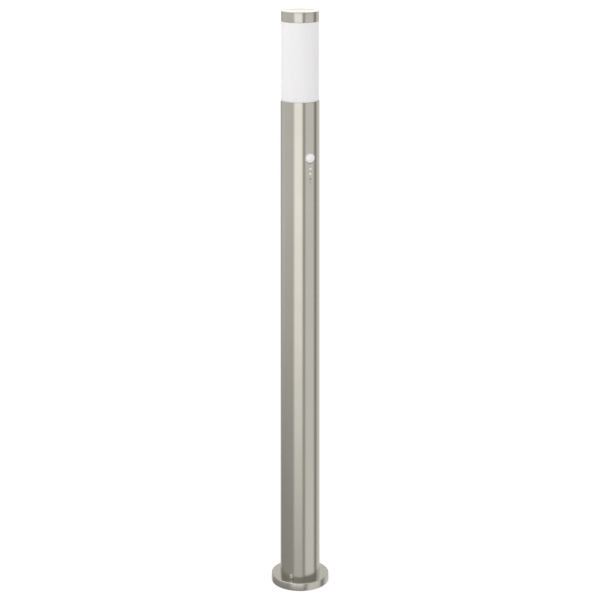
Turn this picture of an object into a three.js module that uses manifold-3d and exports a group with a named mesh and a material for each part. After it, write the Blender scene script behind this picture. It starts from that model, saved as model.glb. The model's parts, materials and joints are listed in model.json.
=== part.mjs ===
// Bollard light with a motion sensor: a slim stainless post on a round foot, an opal lamp head
// and a small passive infrared sensor let into the post wall.
// Millimetres, +Z up. The origin is the centre of the underside of the foot; the sensor faces -Y.
import * as THREE from "three";
import { mergeVertices } from "three/addons/utils/BufferGeometryUtils.js";
import Module from "manifold-3d";

const wasm = await Module();
wasm.setup();

// ---- Driving dimensions -------------------------------------------------------------------
const OVERALL_HEIGHT = 1100;
const GAP = 0.3; // running and assembly clearance
const ROUND = 40; // segments of a turned piece as wide as the post
const MEDIUM = 20; // segments of the lens, the bulb and its holder
const SMALL = 10; // segments of screws and other small round pieces

// Screws: shank radius, head radius and head height.
const FOOT_SCREW = { shank: 2, head: 4.2, height: 2.2 };
const M3_SCREW = { shank: 1.5, head: 2.8, height: 1.8 };
const SENSOR_SCREW = { shank: 1.1, head: 2.4, height: 1.6 };

const BASE_RADIUS = 55;
const BASE_THICKNESS = 14;
const BASE_EDGE = 0.8;
const BASE_ROUND = 1.6; // rounding of the upper edge
const ANCHOR_RADIUS = 22;
const ANCHOR_HOLE = 4.25;
const ANCHOR_COUNT = 3;
const CABLE_HOLE = 10;
const GROMMET_LIP = 2.5;
const GROMMET_LIP_HEIGHT = 2;

const POST_RADIUS = 38;
const POST_WALL = 2;
const POST_BORE = POST_RADIUS - POST_WALL;
const POST_TOP = 927;

const SPIGOT_RADIUS = 35.6;
const SPIGOT_WALL = 3.1;
const SPIGOT_HEIGHT = 45;
const FOOT_SCREW_HEIGHT = BASE_THICKNESS + 5.5;
const FOOT_SCREW_ANGLES = [-148, 32];

const CAP_RADIUS = 37.1;
const CAP_HEIGHT = 20;
const CAP_WALL = 1.2;
const CAP_ROOF = 1.5;
const CAP_EDGE = 0.6;
const CAP_BOTTOM = OVERALL_HEIGHT - CAP_HEIGHT;
const CAP_CEILING = OVERALL_HEIGHT - CAP_ROOF;

const CAP_STUD = 2.5;

const DIFFUSER_RADIUS = 36.7;
const DIFFUSER_BORE = 33.7;
const DIFFUSER_FLANGE_TOP = CAP_BOTTOM + 14;
const DIFFUSER_FLANGE = 3;
const DIFFUSER_FLANGE_BORE = 24;
const NECK_RADIUS = 35.5;
const NECK_BORE = 33.1;
const NECK_DEPTH = 18;
const RING_SECTION = 0.8;
const RING_CENTRE = 34.9;
const RING_HEIGHT = POST_TOP - 10;

const CARRIER_TOP = 892;
const CARRIER_SHEET = 2;
const CARRIER_SKIRT = 14;
const CARRIER_HOLE = 10;
const HOLDER_RADIUS = 19;
const HOLDER_HEIGHT = 36;
const HOLDER_FLOOR = 5;
const HOLDER_BORE = 14.5;
const HOLDER_SHELL = 0.5;
const HOLDER_SCREW_OFFSET = 14;
const HOLDER_WIRE_OFFSET = 6;
const BULB_TIP = CARRIER_TOP + 10;
const BULB_RADIUS = 30;
const BULB_LENGTH = 108;
const BULB_THREAD = 13.2;
const BULB_PITCH = 3.6;
const BULB_TURNS = 5;
const BULB_SHELL_LENGTH = 20;
const BULB_HOUSING_LENGTH = 39;
const GLOBE_WALL = 1.2;

const LENS_HEIGHT = 820.5;
const LENS_RADIUS = 9.3;
const LENS_CENTRE = 35.9; // distance of the dome's centre from the post axis
const LENS_WALL = 1.2;
const LENS_FLANGE = 2.4;
const LENS_FLANGE_TOP = 32.8;
const GASKET_TOP = 33.5;
const TIME_DIAL_HEIGHT = 800;
const LUX_DIAL_HEIGHT = 790.3;
const DIAL_RADIUS = 2.75;
const DIAL_SHAFT = 2;
const DIAL_SHOULDER = 34.5;
const DIAL_FACE = 38.9;
const DIAL_SLOT_DEPTH = 0.9;
const PHOTOCELL_HEIGHT = 780.2;
const PHOTOCELL_RADIUS = 1.6;
const LED_HEIGHT = 773.6;
const LED_RADIUS = 1.1;
const WINDOW_FACE = POST_RADIUS - 0.4;

const HOUSING_FRONT = 31.5; // distances from the post axis, towards -Y
const HOUSING_BACK = 9;
const HOUSING_HALF_WIDTH = 16;
const HOUSING_BOTTOM = 758;
const HOUSING_TOP = 838;
const HOUSING_WALL = 1.8;
const COVER_SHEET = 2;
const COVER_FACE = -HOUSING_BACK + COVER_SHEET; // y of the cover's rear face
const BOARD_FRONT = 24;
const BOARD_SHEET = 1.6;
const BOSS = 6;
const ENTRY_OFFSET = 8; // sideways place of the two wire entries
const ENTRY_DEPTH = (HOUSING_FRONT + HOUSING_BACK) / 2;
const POT_SIZE = 7;
const POT_DEPTH = 4.5;
const STRIP_SHEET = 1;
const STRIP_HALF_WIDTH = 6;

const BRACKET_FACE = 24; // y of the terminal bracket's front face
const BRACKET_SHEET = 1.5;
const BRACKET_HALF_WIDTH = 12;
const BRACKET_TOP = 84;
const BLOCK_BOTTOM = 58;
const BLOCK_HEIGHT = 18;
const BLOCK_DEPTH = 14;
const POLE_SPACING = 8;
const BLOCK_MIDDLE = BLOCK_BOTTOM + BLOCK_HEIGHT / 2;
const BLOCK_HOLE_DEPTH = 5.5;
const POLES = [-POLE_SPACING, 0, POLE_SPACING];
const POLE_Y = BRACKET_FACE - BLOCK_DEPTH / 2;
const CLAMP_HEIGHT = 30;
const CLAMP_SCREW_PLACES = [-9, 9];
const CLAMP_FRONT = 15;
const CLAMP_BACK = 21;
const EARTH_HEIGHT = 46;
const EARTH_STUD = 2;
const WIRE_RADIUS = 1.2;
const WIRE_HOLE = WIRE_RADIUS + 0.5;

// ---- Finishes -----------------------------------------------------------------------------
function finish(color, roughness, metalness) {
  return new THREE.MeshStandardMaterial({ color, roughness, metalness });
}

const STAINLESS = finish(0xb2b0a6, 0.35, 1);
const FASTENER = finish(0xc4c2ba, 0.3, 1);
const ZINC = finish(0xa9adb0, 0.45, 1);
const OPAL = finish(0xf4f4f4, 0.5, 0);
const WHITE_PLASTIC = finish(0xf1efea, 0.4, 0);
const CREAM_PLASTIC = finish(0xe6e3d8, 0.5, 0);
const DARK_PLASTIC = finish(0x2b2d30, 0.6, 0);
const CIRCUIT_BOARD = finish(0x1f5a38, 0.5, 0);
const BLUE_PLASTIC = finish(0x2456a6, 0.4, 0);
const RUBBER = finish(0x1a1a1a, 0.9, 0);
const BRASS = finish(0xc9a14e, 0.35, 1);
const NICKEL = finish(0xd2d2cf, 0.2, 1);
const CERAMIC = finish(0xf2f0ea, 0.3, 0);
const SMOKED = finish(0x958981, 0.2, 0);
const RED_LENS = finish(0xb39089, 0.3, 0);
const WIRE_BROWN = finish(0x6b3e22, 0.6, 0);
const WIRE_BLUE = finish(0x2b62b5, 0.6, 0);
const WIRE_EARTH = finish(0x7fae2e, 0.6, 0);

// ---- Shape helpers ------------------------------------------------------------------------
const light = new THREE.Group();

function add(name, geometry, material) {
  const mesh = new THREE.Mesh(geometry, material);
  mesh.name = name;
  light.add(mesh);
}

// A piece turned about +Z from [radius, height] points that run anticlockwise.
function turned(profile, segments) {
  const points = profile.map(([radius, height]) => new THREE.Vector2(radius, height));
  return new THREE.LatheGeometry(points, segments).rotateX(Math.PI / 2);
}

function ring(inner, outer, bottom, top, segments) {
  return turned(
    [[inner, bottom], [outer, bottom], [outer, top], [inner, top], [inner, bottom]],
    segments,
  );
}

function rod(radius, bottom, top, segments) {
  return turned([[0, bottom], [radius, bottom], [radius, top], [0, top]], segments);
}

function box(x, y, z) {
  const geometry = new THREE.BoxGeometry(x[1] - x[0], y[1] - y[0], z[1] - z[0]);
  return geometry.translate((x[0] + x[1]) / 2, (y[0] + y[1]) / 2, (z[0] + z[1]) / 2);
}

// Turns a piece made about +Z so that its axis points along -Y, at a height on the post.
function facingFront(geometry, height, sideways = 0) {
  return geometry.rotateX(Math.PI / 2).translate(sideways, 0, height);
}

// Turns a piece made about +Z so that its axis points along +Y, at a height on the post.
function facingBack(geometry, height) {
  return geometry.rotateX(-Math.PI / 2).translate(0, 0, height);
}

// Turns a piece made about +Z so that its axis points outwards at an angle about the post.
function facingOut(geometry, degrees, height) {
  const angle = THREE.MathUtils.degToRad(degrees);
  return geometry.rotateY(Math.PI / 2).rotateZ(angle).translate(0, 0, height);
}

function arc(centreRadius, centreHeight, radius, startDegrees, endDegrees, steps) {
  const points = [];
  for (let i = 0; i <= steps; i++) {
    const degrees = startDegrees + ((endDegrees - startDegrees) * i) / steps;
    const angle = THREE.MathUtils.degToRad(degrees);
    const across = centreRadius + radius * Math.cos(angle);
    points.push([across < 1e-9 ? 0 : across, centreHeight + radius * Math.sin(angle)]);
  }
  return points;
}

function toSolid(geometry) {
  const bare = geometry.clone();
  bare.deleteAttribute("normal");
  bare.deleteAttribute("uv");
  const welded = mergeVertices(bare, 1e-4);
  return new wasm.Manifold(new wasm.Mesh({
    numProp: 3,
    vertProperties: new Float32Array(welded.attributes.position.array),
    triVerts: new Uint32Array(welded.index.array),
  }));
}

function toGeometry(solid) {
  const mesh = solid.getMesh();
  const geometry = new THREE.BufferGeometry();
  geometry.setAttribute("position", new THREE.BufferAttribute(mesh.vertProperties, 3));
  geometry.setIndex(new THREE.BufferAttribute(mesh.triVerts, 1));
  geometry.computeVertexNormals();
  return geometry;
}

function cut(geometry, tools) {
  return toGeometry(tools.reduce((body, tool) => body.subtract(toSolid(tool)), toSolid(geometry)));
}

function join(geometry, extras) {
  return toGeometry(extras.reduce((body, extra) => body.add(toSolid(extra)), toSolid(geometry)));
}

// A screw about +Z: the shank ends at `tip`, and the crowned head sits on `seat` with a recess.
function screw({ shank, head, height }, tip, seat) {
  const crown = seat + height;
  const middle = seat + height / 2;
  return turned([
    [0, tip],
    [shank * 0.6, tip],
    [shank, tip + shank * 0.4],
    [shank, seat],
    [head, seat],
    [head, middle],
    [head * 0.8, crown],
    [head * 0.4, crown],
    [head * 0.4, middle],
    [0, middle],
  ], SMALL);
}

// The hole that a screw or a stud of this radius runs in, about +Z.
function clearance(radius, bottom, top) {
  return rod(radius + GAP, bottom, top, SMALL);
}

function hexNut(radius, bore, bottom, top) {
  const blank = new THREE.CylinderGeometry(radius, radius, top - bottom, 6);
  blank.rotateX(Math.PI / 2).translate(0, 0, (bottom + top) / 2);
  return cut(blank, [rod(bore, bottom - 1, top + 1, SMALL)]);
}

function wire(points, steps) {
  const corners = points.map((point) => new THREE.Vector3(...point));
  const path = new THREE.CatmullRomCurve3(corners, false, "centripetal");
  const section = new THREE.Shape();
  section.absarc(0, 0, WIRE_RADIUS, 0, Math.PI * 2, false);
  return new THREE.ExtrudeGeometry(section, {
    curveSegments: 6,
    steps,
    extrudePath: path,
    bevelEnabled: false,
  });
}

// A strip bent in the y-z plane from an outline of [y, z] points, wide along x.
function bentStrip(outline, halfWidth) {
  const shape = new THREE.Shape(outline.map(([y, z]) => new THREE.Vector2(y, z)));
  const geometry = new THREE.ExtrudeGeometry(shape, { depth: 2 * halfWidth, bevelEnabled: false });
  return geometry.rotateY(Math.PI / 2).rotateX(Math.PI / 2).translate(-halfWidth, 0, 0);
}

// ---- Foot ---------------------------------------------------------------------------------
function buildFoot() {
  const plate = turned([
    [CABLE_HOLE, 0],
    [BASE_RADIUS - BASE_EDGE, 0],
    [BASE_RADIUS, BASE_EDGE],
    ...arc(BASE_RADIUS - BASE_ROUND, BASE_THICKNESS - BASE_ROUND, BASE_ROUND, 0, 90, 3),
    [CABLE_HOLE, BASE_THICKNESS],
    [CABLE_HOLE, 0],
  ], ROUND);
  const anchorHoles = [];
  for (let i = 0; i < ANCHOR_COUNT; i++) {
    const angle = -Math.PI / 2 + (i * 2 * Math.PI) / ANCHOR_COUNT;
    const hole = rod(ANCHOR_HOLE, -1, BASE_THICKNESS + 1, MEDIUM);
    hole.translate(ANCHOR_RADIUS * Math.cos(angle), ANCHOR_RADIUS * Math.sin(angle), 0);
    anchorHoles.push(hole);
  }
  add("base_plate", cut(plate, anchorHoles), STAINLESS);

  const spigot = ring(
    SPIGOT_RADIUS - SPIGOT_WALL, SPIGOT_RADIUS,
    BASE_THICKNESS, BASE_THICKNESS + SPIGOT_HEIGHT, ROUND,
  );
  add("post_spigot", cut(spigot, footScrewHoles()), ZINC);

  FOOT_SCREW_ANGLES.forEach((degrees, i) => {
    const piece = screw(FOOT_SCREW, SPIGOT_RADIUS - SPIGOT_WALL, POST_RADIUS + GAP);
    add(`foot_screw_${i + 1}`, facingOut(piece, degrees, FOOT_SCREW_HEIGHT), FASTENER);
  });

  const bore = CABLE_HOLE / 2;
  const lip = CABLE_HOLE + GROMMET_LIP;
  const lipTop = BASE_THICKNESS + GROMMET_LIP_HEIGHT;
  add("cable_grommet", turned([
    [bore, 1],
    [CABLE_HOLE - GAP, 1],
    [CABLE_HOLE - GAP, BASE_THICKNESS],
    [lip, BASE_THICKNESS],
    [lip, lipTop - BASE_EDGE],
    [lip - BASE_EDGE, lipTop],
    [bore, lipTop],
    [bore, 1],
  ], MEDIUM), RUBBER);
}

function footScrewHoles() {
  return FOOT_SCREW_ANGLES.map((degrees) => facingOut(
    clearance(FOOT_SCREW.shank, SPIGOT_RADIUS - 2 * SPIGOT_WALL, POST_RADIUS + 1),
    degrees,
    FOOT_SCREW_HEIGHT,
  ));
}

// ---- Post ---------------------------------------------------------------------------------
function buildPost() {
  const tube = ring(POST_BORE, POST_RADIUS, BASE_THICKNESS, POST_TOP, ROUND);
  const frontHoles = [
    [LENS_RADIUS + GAP, LENS_HEIGHT, MEDIUM],
    [DIAL_RADIUS + GAP, TIME_DIAL_HEIGHT, SMALL],
    [DIAL_RADIUS + GAP, LUX_DIAL_HEIGHT, SMALL],
    [PHOTOCELL_RADIUS + GAP, PHOTOCELL_HEIGHT, SMALL],
    [LED_RADIUS + GAP, LED_HEIGHT, SMALL],
  ].map(([radius, height, segments]) =>
    facingFront(rod(radius, HOUSING_FRONT, POST_RADIUS + 1, segments), height));
  add("post_tube", cut(tube, [...frontHoles, ...footScrewHoles()]), STAINLESS);
}

// ---- Mains connection in the foot ---------------------------------------------------------
function buildTerminals() {
  const back = BRACKET_FACE + BRACKET_SHEET;
  const footTop = BASE_THICKNESS + BRACKET_SHEET;
  const toe = 18;
  const angleStrip = bentStrip([
    [toe, BASE_THICKNESS],
    [back, BASE_THICKNESS],
    [back, BRACKET_TOP],
    [BRACKET_FACE, BRACKET_TOP],
    [BRACKET_FACE, footTop],
    [toe, footTop],
  ], BRACKET_HALF_WIDTH);
  const bracketHoles = CLAMP_SCREW_PLACES.map((x) =>
    facingFront(clearance(M3_SCREW.shank, -back - 1, -BRACKET_FACE + 1), CLAMP_HEIGHT, x));
  add("terminal_bracket", cut(angleStrip, bracketHoles), ZINC);
  buildTerminalBlock();
  buildCordClamp(back);
  buildEarth();
}

function buildTerminalBlock() {
  const front = -BRACKET_FACE + BLOCK_DEPTH; // heights about the axis that points to the front
  const top = BLOCK_BOTTOM + BLOCK_HEIGHT;
  const wellRadius = 2.7;
  const wellDepth = 4;
  const screwTop = front - 1.2;
  const screwBottom = front - wellDepth + GAP;
  const block = box(
    [-BRACKET_HALF_WIDTH, BRACKET_HALF_WIDTH],
    [-front, BRACKET_FACE],
    [BLOCK_BOTTOM, top],
  );
  const wells = POLES.map((x) =>
    facingFront(rod(wellRadius, front - wellDepth, front + 1, SMALL), BLOCK_MIDDLE, x));
  const wireHoles = POLES.flatMap((x) => [
    rod(WIRE_HOLE, top - BLOCK_HOLE_DEPTH, top + 1, SMALL).translate(x, POLE_Y, 0),
    rod(WIRE_HOLE, BLOCK_BOTTOM - 1, BLOCK_BOTTOM + BLOCK_HOLE_DEPTH, SMALL).translate(x, POLE_Y, 0),
  ]);
  add("terminal_block", cut(block, [...wells, ...wireHoles]), CERAMIC);
  POLES.forEach((x, i) => {
    const piece = rod(wellRadius - 0.4, screwBottom, screwTop, SMALL);
    add(`terminal_screw_${i + 1}`, facingFront(piece, BLOCK_MIDDLE, x), BRASS);
  });
}

function buildCordClamp(bracketBack) {
  const halfHeight = 4;
  const grooveRadius = 4;
  const bottom = CLAMP_HEIGHT - halfHeight;
  const top = CLAMP_HEIGHT + halfHeight;
  const saddle = box(
    [-BRACKET_HALF_WIDTH, BRACKET_HALF_WIDTH],
    [CLAMP_FRONT, CLAMP_BACK],
    [bottom, top],
  );
  const groove = rod(grooveRadius, bottom - 1, top + 1, SMALL).translate(0, CLAMP_BACK + 1.5, 0);
  const holes = CLAMP_SCREW_PLACES.map((x) =>
    facingFront(clearance(M3_SCREW.shank, -CLAMP_BACK - 1, -CLAMP_FRONT + 1), CLAMP_HEIGHT, x));
  add("cord_clamp", cut(saddle, [groove, ...holes]), DARK_PLASTIC);
  CLAMP_SCREW_PLACES.forEach((x, i) => {
    const piece = screw(M3_SCREW, -bracketBack - 1, -CLAMP_FRONT);
    add(`clamp_screw_${i + 1}`, facingFront(piece, CLAMP_HEIGHT, x), FASTENER);
  });
}

function buildEarth() {
  const tagFace = 0.8 - BRACKET_FACE;
  const nutFace = tagFace + 3.2;
  const bore = EARTH_STUD + 0.2;
  const wireDepth = 21.2;
  add("earth_stud", facingFront(rod(EARTH_STUD, -BRACKET_FACE, -12, SMALL), EARTH_HEIGHT), FASTENER);
  add("earth_tag", facingFront(ring(bore, 4.6, -BRACKET_FACE, tagFace, SMALL), EARTH_HEIGHT), BRASS);
  add("earth_nut", facingFront(hexNut(4, bore, tagFace, nutFace), EARTH_HEIGHT), FASTENER);
  add("wire_earth", wire([
    [0, POLE_Y, BLOCK_BOTTOM + 4],
    [0, POLE_Y, BLOCK_BOTTOM - 3],
    [-6, POLE_Y + 1, BLOCK_BOTTOM - 8],
    [-7.5, wireDepth, EARTH_HEIGHT],
    [-5.9, wireDepth, EARTH_HEIGHT - 0.5],
  ], 12), WIRE_EARTH);
}

// ---- Wires up the post --------------------------------------------------------------------
function buildWires() {
  const sides = [["live", -1, WIRE_BROWN], ["neutral", 1, WIRE_BLUE]];
  for (const [name, side, material] of sides) {
    add(`wire_${name}`, wire([
      [side * POLE_SPACING, POLE_Y, BLOCK_MIDDLE + 5],
      [side * POLE_SPACING, POLE_Y, BRACKET_TOP + 6],
      [side * 11, 8, 150],
      [side * 13, 4, 420],
      [side * 11, 2, 690],
      [side * ENTRY_OFFSET, -ENTRY_DEPTH, HOUSING_BOTTOM - 28],
      [side * ENTRY_OFFSET, -ENTRY_DEPTH, HOUSING_BOTTOM + 5],
    ], 30), material);
    add(`wire_lamp_${name}`, wire([
      [side * ENTRY_OFFSET, -ENTRY_DEPTH, HOUSING_TOP - 5],
      [side * ENTRY_OFFSET, -ENTRY_DEPTH, HOUSING_TOP + 6],
      [side * ENTRY_OFFSET, -8, CARRIER_TOP - 30],
      [side * HOLDER_WIRE_OFFSET, 0, CARRIER_TOP - 12],
      [side * HOLDER_WIRE_OFFSET, 0, CARRIER_TOP + 3],
    ], 12), material);
  }
}

// ---- Motion sensor ------------------------------------------------------------------------
const BOSS_HEIGHTS = [
  HOUSING_BOTTOM + HOUSING_WALL + BOSS / 2,
  HOUSING_TOP - HOUSING_WALL - BOSS / 2,
];

function buildSensorCase() {
  const width = [-HOUSING_HALF_WIDTH, HOUSING_HALF_WIDTH];
  const inner = HOUSING_HALF_WIDTH - HOUSING_WALL;
  const shell = cut(box(width, [-HOUSING_FRONT, -HOUSING_BACK], [HOUSING_BOTTOM, HOUSING_TOP]), [
    box(
      [-inner, inner],
      [-HOUSING_FRONT + HOUSING_WALL, 0],
      [HOUSING_BOTTOM + HOUSING_WALL, HOUSING_TOP - HOUSING_WALL],
    ),
  ]);
  const bosses = BOSS_HEIGHTS.map((z) => box(
    [-BOSS / 2, BOSS / 2],
    [-HOUSING_FRONT + HOUSING_WALL / 2, -HOUSING_BACK],
    [Math.max(z - BOSS / 2 - 1, HOUSING_BOTTOM + 1), Math.min(z + BOSS / 2 + 1, HOUSING_TOP - 1)],
  ));
  const windows = [
    [LENS_RADIUS - 1, LENS_HEIGHT, MEDIUM],
    [DIAL_SHAFT + 2 * GAP, TIME_DIAL_HEIGHT, SMALL],
    [DIAL_SHAFT + 2 * GAP, LUX_DIAL_HEIGHT, SMALL],
    [PHOTOCELL_RADIUS + GAP, PHOTOCELL_HEIGHT, SMALL],
    [LED_RADIUS + GAP, LED_HEIGHT, SMALL],
  ].map(([radius, height, segments]) =>
    facingFront(rod(radius, HOUSING_FRONT - HOUSING_WALL - 1, HOUSING_FRONT + 1, segments), height));
  const entries = [-ENTRY_OFFSET, ENTRY_OFFSET].map((x) =>
    rod(WIRE_HOLE, HOUSING_BOTTOM - 1, HOUSING_TOP + 1, SMALL).translate(x, -ENTRY_DEPTH, 0));
  const holes = [...sensorScrewHoles(), ...windows, ...entries];
  add("sensor_housing", cut(join(shell, bosses), holes), DARK_PLASTIC);

  const cover = box(width, [-HOUSING_BACK, COVER_FACE], [HOUSING_BOTTOM, HOUSING_TOP]);
  add("sensor_cover", cut(cover, sensorScrewHoles()), DARK_PLASTIC);
}

function sensorScrewHoles() {
  return BOSS_HEIGHTS.map((z) =>
    facingFront(clearance(SENSOR_SCREW.shank, 0, HOUSING_BACK + 12), z));
}

// A U-shaped strip reaches from the cover to the far wall and holds the sensor in place.
function buildSensorBracket() {
  const width = [-STRIP_HALF_WIDTH, STRIP_HALF_WIDTH];
  const seat = COVER_FACE + STRIP_SHEET;
  const web = POST_BORE - 3 * GAP;
  const reach = BOSS - 1;
  const [low, high] = BOSS_HEIGHTS;
  const feet = BOSS_HEIGHTS.map((z) => box(width, [COVER_FACE, seat], [z - reach, z + reach]));
  const legs = [low + reach, high - reach + STRIP_SHEET].map((z) =>
    box(width, [COVER_FACE, web], [z - STRIP_SHEET, z]));
  const back = box(width, [web - STRIP_SHEET, web], [low + reach - STRIP_SHEET, high - reach + STRIP_SHEET]);
  add("sensor_bracket", cut(join(back, [...legs, ...feet]), sensorScrewHoles()), ZINC);
  BOSS_HEIGHTS.forEach((z, i) => {
    const piece = screw(SENSOR_SCREW, -HOUSING_BACK - 8, seat);
    add(`bracket_screw_${i + 1}`, facingBack(piece, z), FASTENER);
  });
}

function buildLens() {
  const inner = LENS_RADIUS - LENS_WALL;
  const flange = LENS_RADIUS + LENS_FLANGE;
  const bottom = HOUSING_FRONT + GAP;
  add("sensor_lens", facingFront(turned([
    [inner, bottom],
    [flange, bottom],
    [flange, LENS_FLANGE_TOP],
    [LENS_RADIUS, LENS_FLANGE_TOP],
    ...arc(0, LENS_CENTRE, LENS_RADIUS, 0, 90, 7),
    ...arc(0, LENS_CENTRE, inner, 90, 0, 6),
    [inner, bottom],
  ], MEDIUM), LENS_HEIGHT), WHITE_PLASTIC);
  const gasket = ring(LENS_RADIUS + GAP, flange, LENS_FLANGE_TOP, GASKET_TOP, MEDIUM);
  add("sensor_gasket", facingFront(gasket, LENS_HEIGHT), RUBBER);
}

function buildBoard() {
  const halfWidth = HOUSING_HALF_WIDTH - HOUSING_WALL - GAP;
  const boardBack = -BOARD_FRONT + BOARD_SHEET;
  const margin = HOUSING_WALL + BOSS + 1.5;
  add("sensor_board", box(
    [-halfWidth, halfWidth],
    [-BOARD_FRONT, boardBack],
    [HOUSING_BOTTOM + margin, HOUSING_TOP - margin],
  ), CIRCUIT_BOARD);
  add("pyro_detector", facingFront(turned([
    [0, BOARD_FRONT],
    [4.6, BOARD_FRONT],
    [4.6, BOARD_FRONT + 0.6],
    [4.1, BOARD_FRONT + 0.6],
    [4.1, BOARD_FRONT + 4],
    [3.6, BOARD_FRONT + 4.4],
    [0, BOARD_FRONT + 4.4],
  ], SMALL), LENS_HEIGHT), NICKEL);
  const photocell = rod(PHOTOCELL_RADIUS, BOARD_FRONT, WINDOW_FACE, SMALL);
  add("photocell", facingFront(photocell, PHOTOCELL_HEIGHT), SMOKED);
  const led = rod(LED_RADIUS, BOARD_FRONT, WINDOW_FACE, SMALL);
  add("status_led", facingFront(led, LED_HEIGHT), RED_LENS);
  add("relay", box([-12, 0], [boardBack, boardBack + 11], [790, 812]), BLUE_PLASTIC);
  const can = rod(4.5, 0, 12, SMALL).rotateX(-Math.PI / 2);
  add("capacitor", can.translate(7.5, boardBack, 800), DARK_PLASTIC);
}

function buildDials() {
  const potFace = BOARD_FRONT + POT_DEPTH;
  const half = POT_SIZE / 2;
  for (const [name, z] of [["time", TIME_DIAL_HEIGHT], ["lux", LUX_DIAL_HEIGHT]]) {
    add(`${name}_pot`, box([-half, half], [-potFace, -BOARD_FRONT], [z - half, z + half]), BLUE_PLASTIC);
    const knob = turned([
      [0, potFace + GAP],
      [DIAL_SHAFT, potFace + GAP],
      [DIAL_SHAFT, DIAL_SHOULDER],
      [DIAL_RADIUS, DIAL_SHOULDER],
      [DIAL_RADIUS, DIAL_FACE - 0.4],
      [DIAL_RADIUS - 0.4, DIAL_FACE],
      [0, DIAL_FACE],
    ], SMALL);
    const slot = box([-0.45, 0.45], [-1.9, 1.9], [DIAL_FACE - DIAL_SLOT_DEPTH, DIAL_FACE + 1]);
    add(`${name}_dial`, facingFront(cut(knob, [slot]), z), CREAM_PLASTIC);
  }
}

// ---- Lampholder and bulb ------------------------------------------------------------------
function buildLampholder() {
  const carrierLow = CARRIER_TOP - CARRIER_SHEET;
  const skirtBore = POST_BORE - CARRIER_SHEET;
  const carrier = turned([
    [CARRIER_HOLE, carrierLow],
    [skirtBore, carrierLow],
    [skirtBore, CARRIER_TOP - CARRIER_SKIRT],
    [POST_BORE, CARRIER_TOP - CARRIER_SKIRT],
    [POST_BORE, CARRIER_TOP],
    [CARRIER_HOLE, CARRIER_TOP],
    [CARRIER_HOLE, carrierLow],
  ], ROUND);
  const screwPlaces = [-HOLDER_SCREW_OFFSET, HOLDER_SCREW_OFFSET];
  const carrierHoles = screwPlaces.map((y) =>
    clearance(M3_SCREW.shank, carrierLow - 1, CARRIER_TOP + 1).translate(0, y, 0));
  add("lamp_carrier", cut(carrier, carrierHoles), ZINC);

  const holderTop = CARRIER_TOP + HOLDER_HEIGHT;
  const floor = CARRIER_TOP + HOLDER_FLOOR;
  const body = turned([
    [0, CARRIER_TOP],
    [HOLDER_RADIUS, CARRIER_TOP],
    [HOLDER_RADIUS, CARRIER_TOP + 12],
    [HOLDER_RADIUS - 1.5, CARRIER_TOP + 14],
    [HOLDER_RADIUS - 1.5, holderTop - 1],
    [HOLDER_RADIUS - 2.5, holderTop],
    [HOLDER_BORE, holderTop],
    [HOLDER_BORE, floor],
    [0, floor],
  ], MEDIUM);
  const holeTop = CARRIER_TOP + HOLDER_FLOOR - 1;
  const screwHoles = screwPlaces.map((y) =>
    clearance(M3_SCREW.shank, CARRIER_TOP - 1, holeTop).translate(0, y, 0));
  const wireHoles = [-HOLDER_WIRE_OFFSET, HOLDER_WIRE_OFFSET].map((x) =>
    rod(WIRE_HOLE, CARRIER_TOP - 1, holeTop, SMALL).translate(x, 0, 0));
  add("lampholder_body", cut(body, [...screwHoles, ...wireHoles]), CERAMIC);
  screwPlaces.forEach((y, i) => {
    const piece = screw(M3_SCREW, -holeTop + 1, -carrierLow).rotateX(Math.PI);
    add(`lampholder_screw_${i + 1}`, piece.translate(0, y, 0), FASTENER);
  });
  const shellBore = HOLDER_BORE - GAP - HOLDER_SHELL;
  add("lampholder_shell", ring(shellBore, HOLDER_BORE - GAP, floor, holderTop - 4, MEDIUM), BRASS);
  add("lampholder_contact", turned([
    [0, floor],
    [3.5, floor],
    [3.5, floor + 1],
    [2.2, BULB_TIP - GAP],
    [0, BULB_TIP - GAP],
  ], SMALL), BRASS);
}

function buildBulb() {
  const insulatorBottom = BULB_TIP + 2;
  const shellBottom = BULB_TIP + 7;
  const housingBottom = shellBottom + BULB_SHELL_LENGTH;
  const globeBottom = housingBottom + BULB_HOUSING_LENGTH;
  const centre = BULB_TIP + BULB_LENGTH - BULB_RADIUS;
  const seam = THREE.MathUtils.radToDeg(Math.asin((globeBottom - centre) / BULB_RADIUS));
  const seamRadius = BULB_RADIUS * Math.cos(THREE.MathUtils.degToRad(seam));

  add("bulb_contact", rod(4.5, BULB_TIP, insulatorBottom, SMALL), NICKEL);
  add("bulb_insulator", turned([
    [0, insulatorBottom],
    [5.5, insulatorBottom],
    [12, shellBottom],
    [0, shellBottom],
  ], MEDIUM), DARK_PLASTIC);

  const root = BULB_THREAD - 0.9;
  const ridges = [];
  for (let i = 0; i < BULB_TURNS; i++) {
    const z = shellBottom + 1 + i * BULB_PITCH;
    ridges.push([root, z], [BULB_THREAD, z + BULB_PITCH / 2]);
  }
  add("bulb_screw_shell", turned([
    [0, shellBottom],
    [root - GAP, shellBottom],
    ...ridges,
    [root, housingBottom],
    [0, housingBottom],
  ], MEDIUM), NICKEL);

  add("bulb_housing", turned([
    [0, housingBottom],
    [BULB_THREAD, housingBottom],
    [BULB_THREAD + 1.5, housingBottom + 3],
    [17.5, housingBottom + 11],
    [21.5, housingBottom + 21],
    [seamRadius - 2, globeBottom - 6],
    [seamRadius, globeBottom],
    [0, globeBottom],
  ], MEDIUM), WHITE_PLASTIC);

  add("bulb_globe", turned([
    [seamRadius - GLOBE_WALL, globeBottom],
    ...arc(0, centre, BULB_RADIUS, seam, 90, 9),
    ...arc(0, centre, BULB_RADIUS - GLOBE_WALL, 90, seam, 8),
    [seamRadius - GLOBE_WALL, globeBottom],
  ], MEDIUM), OPAL);
}

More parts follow.
